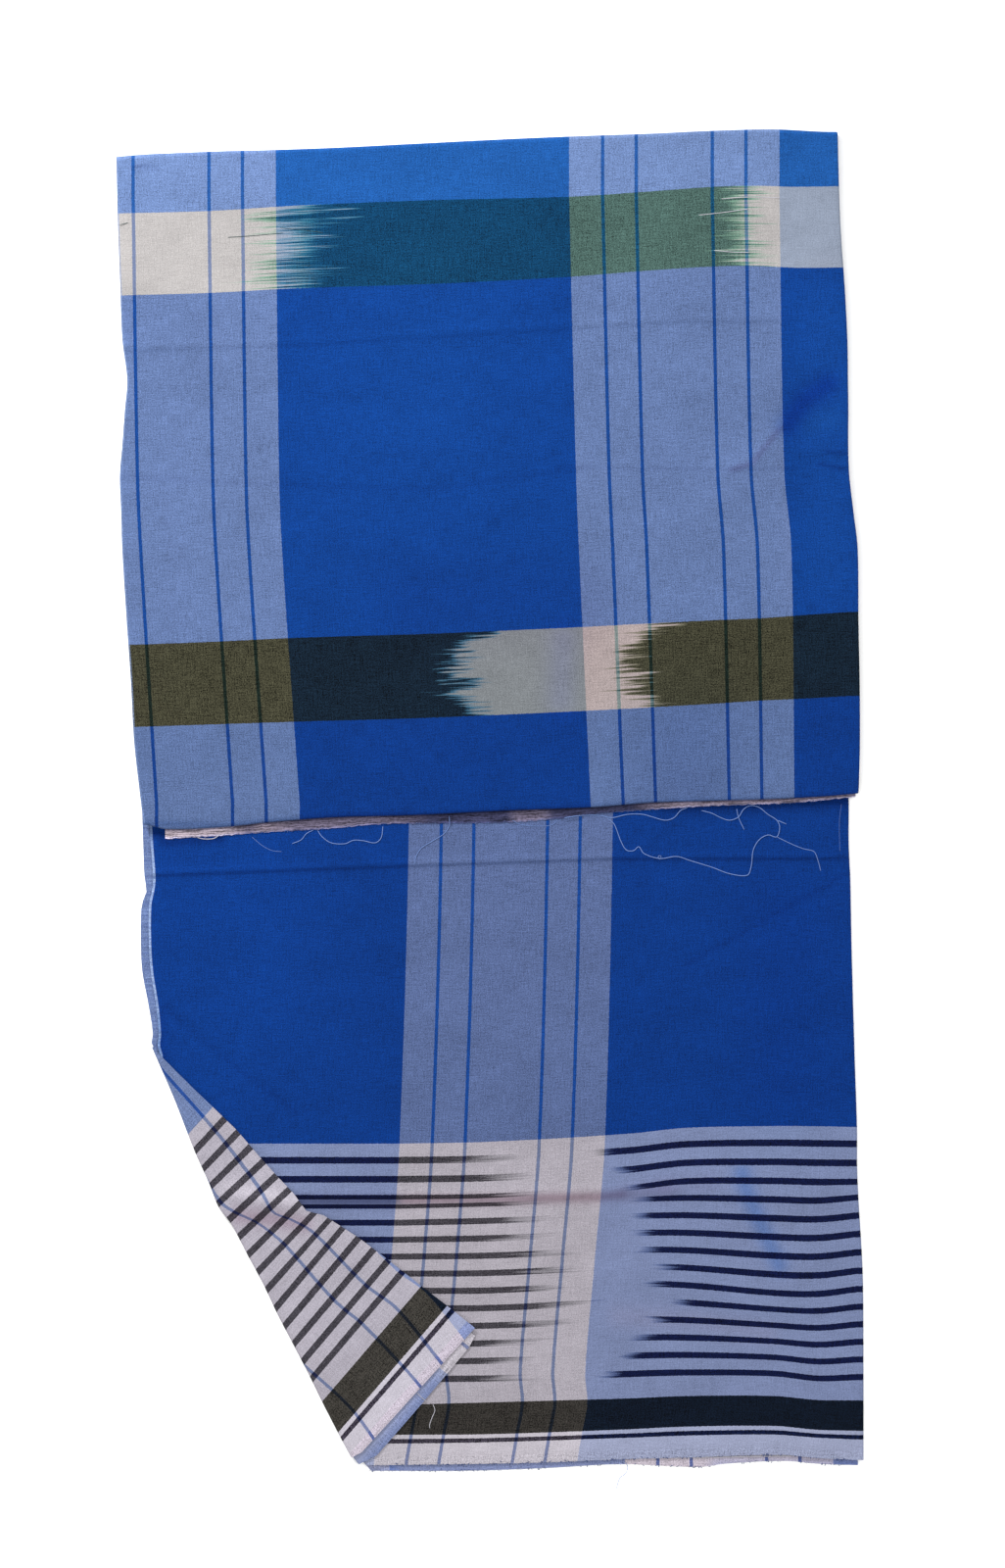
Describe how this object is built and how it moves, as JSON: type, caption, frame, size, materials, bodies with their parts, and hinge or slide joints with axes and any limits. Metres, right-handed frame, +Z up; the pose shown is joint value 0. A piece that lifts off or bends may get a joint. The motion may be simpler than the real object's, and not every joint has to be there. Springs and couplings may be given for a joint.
{
  "type": "lungi, folded flat",
  "caption": "Cotton lungi folded along its length and doubled over, laid flat with one lower corner of both layers turned up; check and ikat bands.",
  "frame": {"origin": "on the surface that the cloth rests on, under the middle of its outline", "axes": "+Z up from the surface, +Y along the folded cloth from its cut end to the top fold, +X across it to the lengthwise fold"},
  "size_m": [0.6331, 1.1361, 0.0083],
  "materials": {
    "checked_cotton": "plain-woven cotton, blue with pale stripes, soft matt sheen",
    "white_weft_end": "plain-woven cotton with a white weft, frayed at the cut edge, matt"
  },
  "bodies": {
    "root": {"back_layer": "checked_cotton", "front_layer": "checked_cotton", "hidden_layers": "checked_cotton", "under_end": "white_weft_end", "upper_panel": "checked_cotton", "corner_front_turned": "white_weft_end", "corner_back_turned": "checked_cotton"}
  },
  "joints": []
}
